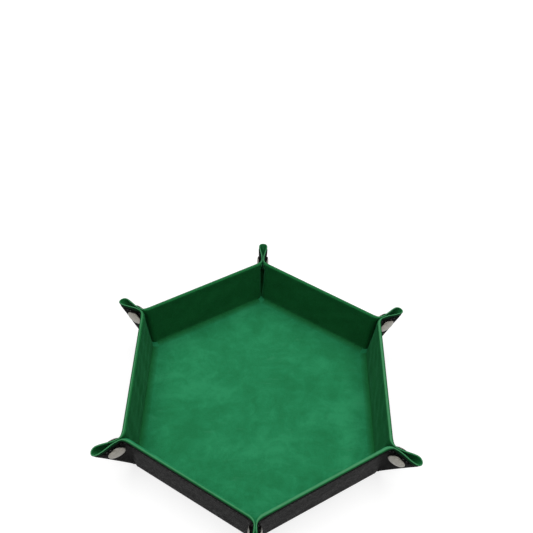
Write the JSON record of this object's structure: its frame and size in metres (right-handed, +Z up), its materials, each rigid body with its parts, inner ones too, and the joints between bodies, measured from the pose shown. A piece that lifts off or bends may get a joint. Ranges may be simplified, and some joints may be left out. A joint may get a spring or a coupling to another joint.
{
  "type": "folding dice tray",
  "caption": "Folding hexagonal dice tray with a velvet-lined well, leatherette outside and snap-fastened corners that open it out flat.",
  "frame": {"origin": "centre of the hexagonal underside, on the surface the tray stands on", "axes": "+Z up, +Y through one corner of the hexagon, +X square to one wall"},
  "size_m": [0.2214, 0.2514, 0.0435],
  "materials": {
    "leatherette": "matt black pebbled leatherette",
    "leatherette_gusset": "black leatherette outside, green velvet inside, no board",
    "velvet": "brushed green velvet",
    "board": "raw grey fibre board",
    "nickel": "satin nickel plate"
  },
  "bodies": {
    "floor": {"base_cover": "leatherette", "base_board": "board", "base_lining": "velvet"},
    "wall_1": {"wall_1_cover": "leatherette", "wall_1_board": "board", "wall_1_lining": "velvet"},
    "wall_2": {"wall_2_cover": "leatherette", "wall_2_board": "board", "wall_2_lining": "velvet"},
    "wall_3": {"wall_3_cover": "leatherette", "wall_3_board": "board", "wall_3_lining": "velvet"},
    "wall_4": {"wall_4_cover": "leatherette", "wall_4_board": "board", "wall_4_lining": "velvet"},
    "wall_5": {"wall_5_cover": "leatherette", "wall_5_board": "board", "wall_5_lining": "velvet"},
    "wall_6": {"wall_6_cover": "leatherette", "wall_6_board": "board", "wall_6_lining": "velvet"},
    "corner_1_left": {"corner_1_gusset_left": "leatherette_gusset", "corner_1_snap_cap": "nickel", "corner_1_snap_socket": "nickel"},
    "corner_1_right": {"corner_1_gusset_right": "leatherette_gusset", "corner_1_snap_post": "nickel", "corner_1_snap_stud": "nickel"},
    "corner_2_left": {"corner_2_gusset_left": "leatherette_gusset", "corner_2_snap_cap": "nickel", "corner_2_snap_socket": "nickel"},
    "corner_2_right": {"corner_2_gusset_right": "leatherette_gusset", "corner_2_snap_post": "nickel", "corner_2_snap_stud": "nickel"},
    "corner_3_left": {"corner_3_gusset_left": "leatherette_gusset", "corner_3_snap_cap": "nickel", "corner_3_snap_socket": "nickel"},
    "corner_3_right": {"corner_3_gusset_right": "leatherette_gusset", "corner_3_snap_post": "nickel", "corner_3_snap_stud": "nickel"},
    "corner_4_left": {"corner_4_gusset_left": "leatherette_gusset", "corner_4_snap_cap": "nickel", "corner_4_snap_socket": "nickel"},
    "corner_4_right": {"corner_4_gusset_right": "leatherette_gusset", "corner_4_snap_post": "nickel", "corner_4_snap_stud": "nickel"},
    "corner_5_left": {"corner_5_gusset_left": "leatherette_gusset", "corner_5_snap_cap": "nickel", "corner_5_snap_socket": "nickel"},
    "corner_5_right": {"corner_5_gusset_right": "leatherette_gusset", "corner_5_snap_post": "nickel", "corner_5_snap_stud": "nickel"},
    "corner_6_left": {"corner_6_gusset_left": "leatherette_gusset", "corner_6_snap_cap": "nickel", "corner_6_snap_socket": "nickel"},
    "corner_6_right": {"corner_6_gusset_right": "leatherette_gusset", "corner_6_snap_post": "nickel", "corner_6_snap_stud": "nickel"}
  },
  "joints": [
    {"name": "wall_1_fold", "type": "hinge", "parent": "floor", "child": "wall_1", "pos_m": [0.0866, 0, 0.0015], "axis": [0, 1, 0], "range_deg": [0, 86]},
    {"name": "wall_2_fold", "type": "hinge", "parent": "floor", "child": "wall_2", "pos_m": [0.0433, 0.075, 0.0015], "axis": [-0.866, 0.5, 0], "range_deg": [0, 86]},
    {"name": "wall_3_fold", "type": "hinge", "parent": "floor", "child": "wall_3", "pos_m": [-0.0433, 0.075, 0.0015], "axis": [-0.866, -0.5, 0], "range_deg": [0, 86]},
    {"name": "wall_4_fold", "type": "hinge", "parent": "floor", "child": "wall_4", "pos_m": [-0.0866, 0, 0.0015], "axis": [0, -1, 0], "range_deg": [0, 86]},
    {"name": "wall_5_fold", "type": "hinge", "parent": "floor", "child": "wall_5", "pos_m": [-0.0433, -0.075, 0.0015], "axis": [0.866, -0.5, 0], "range_deg": [0, 86]},
    {"name": "wall_6_fold", "type": "hinge", "parent": "floor", "child": "wall_6", "pos_m": [0.0433, -0.075, 0.0015], "axis": [0.866, 0.5, 0], "range_deg": [0, 86]},
    {"name": "corner_1_left_fold", "type": "hinge", "parent": "wall_1", "child": "corner_1_left", "pos_m": [0.08737, 0.0481, 0.0225], "axis": [0.0698, 0, 0.9976], "range_deg": [0, 60.6]},
    {"name": "corner_1_right_fold", "type": "hinge", "parent": "wall_2", "child": "corner_1_right", "pos_m": [0.08534, 0.05161, 0.0225], "axis": [-0.0349, -0.0604, -0.9976], "range_deg": [0, 60.6]},
    {"name": "corner_2_left_fold", "type": "hinge", "parent": "wall_2", "child": "corner_2_left", "pos_m": [0.00203, 0.09971, 0.0225], "axis": [0.0349, 0.0604, 0.9976], "range_deg": [0, 60.6]},
    {"name": "corner_2_right_fold", "type": "hinge", "parent": "wall_3", "child": "corner_2_right", "pos_m": [-0.00203, 0.09971, 0.0225], "axis": [0.0349, -0.0604, -0.9976], "range_deg": [0, 60.6]},
    {"name": "corner_3_left_fold", "type": "hinge", "parent": "wall_3", "child": "corner_3_left", "pos_m": [-0.08534, 0.05161, 0.0225], "axis": [-0.0349, 0.0604, 0.9976], "range_deg": [0, 60.6]},
    {"name": "corner_3_right_fold", "type": "hinge", "parent": "wall_4", "child": "corner_3_right", "pos_m": [-0.08737, 0.0481, 0.0225], "axis": [0.0698, 0, -0.9976], "range_deg": [0, 60.6]},
    {"name": "corner_4_left_fold", "type": "hinge", "parent": "wall_4", "child": "corner_4_left", "pos_m": [-0.08737, -0.0481, 0.0225], "axis": [-0.0698, 0, 0.9976], "range_deg": [0, 60.6]},
    {"name": "corner_4_right_fold", "type": "hinge", "parent": "wall_5", "child": "corner_4_right", "pos_m": [-0.08534, -0.05161, 0.0225], "axis": [0.0349, 0.0604, -0.9976], "range_deg": [0, 60.6]},
    {"name": "corner_5_left_fold", "type": "hinge", "parent": "wall_5", "child": "corner_5_left", "pos_m": [-0.00203, -0.09971, 0.0225], "axis": [-0.0349, -0.0604, 0.9976], "range_deg": [0, 60.6]},
    {"name": "corner_5_right_fold", "type": "hinge", "parent": "wall_6", "child": "corner_5_right", "pos_m": [0.00203, -0.09971, 0.0225], "axis": [-0.0349, 0.0604, -0.9976], "range_deg": [0, 60.6]},
    {"name": "corner_6_left_fold", "type": "hinge", "parent": "wall_6", "child": "corner_6_left", "pos_m": [0.08534, -0.05161, 0.0225], "axis": [0.0349, -0.0604, 0.9976], "range_deg": [0, 60.6]},
    {"name": "corner_6_right_fold", "type": "hinge", "parent": "wall_1", "child": "corner_6_right", "pos_m": [0.08737, -0.0481, 0.0225], "axis": [-0.0698, 0, -0.9976], "range_deg": [0, 60.6]}
  ],
  "couplings": [
    {"joint": "wall_2_fold", "follows": "wall_1_fold", "ratio": 1},
    {"joint": "wall_3_fold", "follows": "wall_1_fold", "ratio": 1},
    {"joint": "wall_4_fold", "follows": "wall_1_fold", "ratio": 1},
    {"joint": "wall_5_fold", "follows": "wall_1_fold", "ratio": 1},
    {"joint": "wall_6_fold", "follows": "wall_1_fold", "ratio": 1},
    {"joint": "corner_1_left_fold", "follows": "wall_1_fold", "ratio": 0.70459},
    {"joint": "corner_1_right_fold", "follows": "wall_1_fold", "ratio": 0.70459},
    {"joint": "corner_2_left_fold", "follows": "wall_1_fold", "ratio": 0.70459},
    {"joint": "corner_2_right_fold", "follows": "wall_1_fold", "ratio": 0.70459},
    {"joint": "corner_3_left_fold", "follows": "wall_1_fold", "ratio": 0.70459},
    {"joint": "corner_3_right_fold", "follows": "wall_1_fold", "ratio": 0.70459},
    {"joint": "corner_4_left_fold", "follows": "wall_1_fold", "ratio": 0.70459},
    {"joint": "corner_4_right_fold", "follows": "wall_1_fold", "ratio": 0.70459},
    {"joint": "corner_5_left_fold", "follows": "wall_1_fold", "ratio": 0.70459},
    {"joint": "corner_5_right_fold", "follows": "wall_1_fold", "ratio": 0.70459},
    {"joint": "corner_6_left_fold", "follows": "wall_1_fold", "ratio": 0.70459},
    {"joint": "corner_6_right_fold", "follows": "wall_1_fold", "ratio": 0.70459}
  ]
}
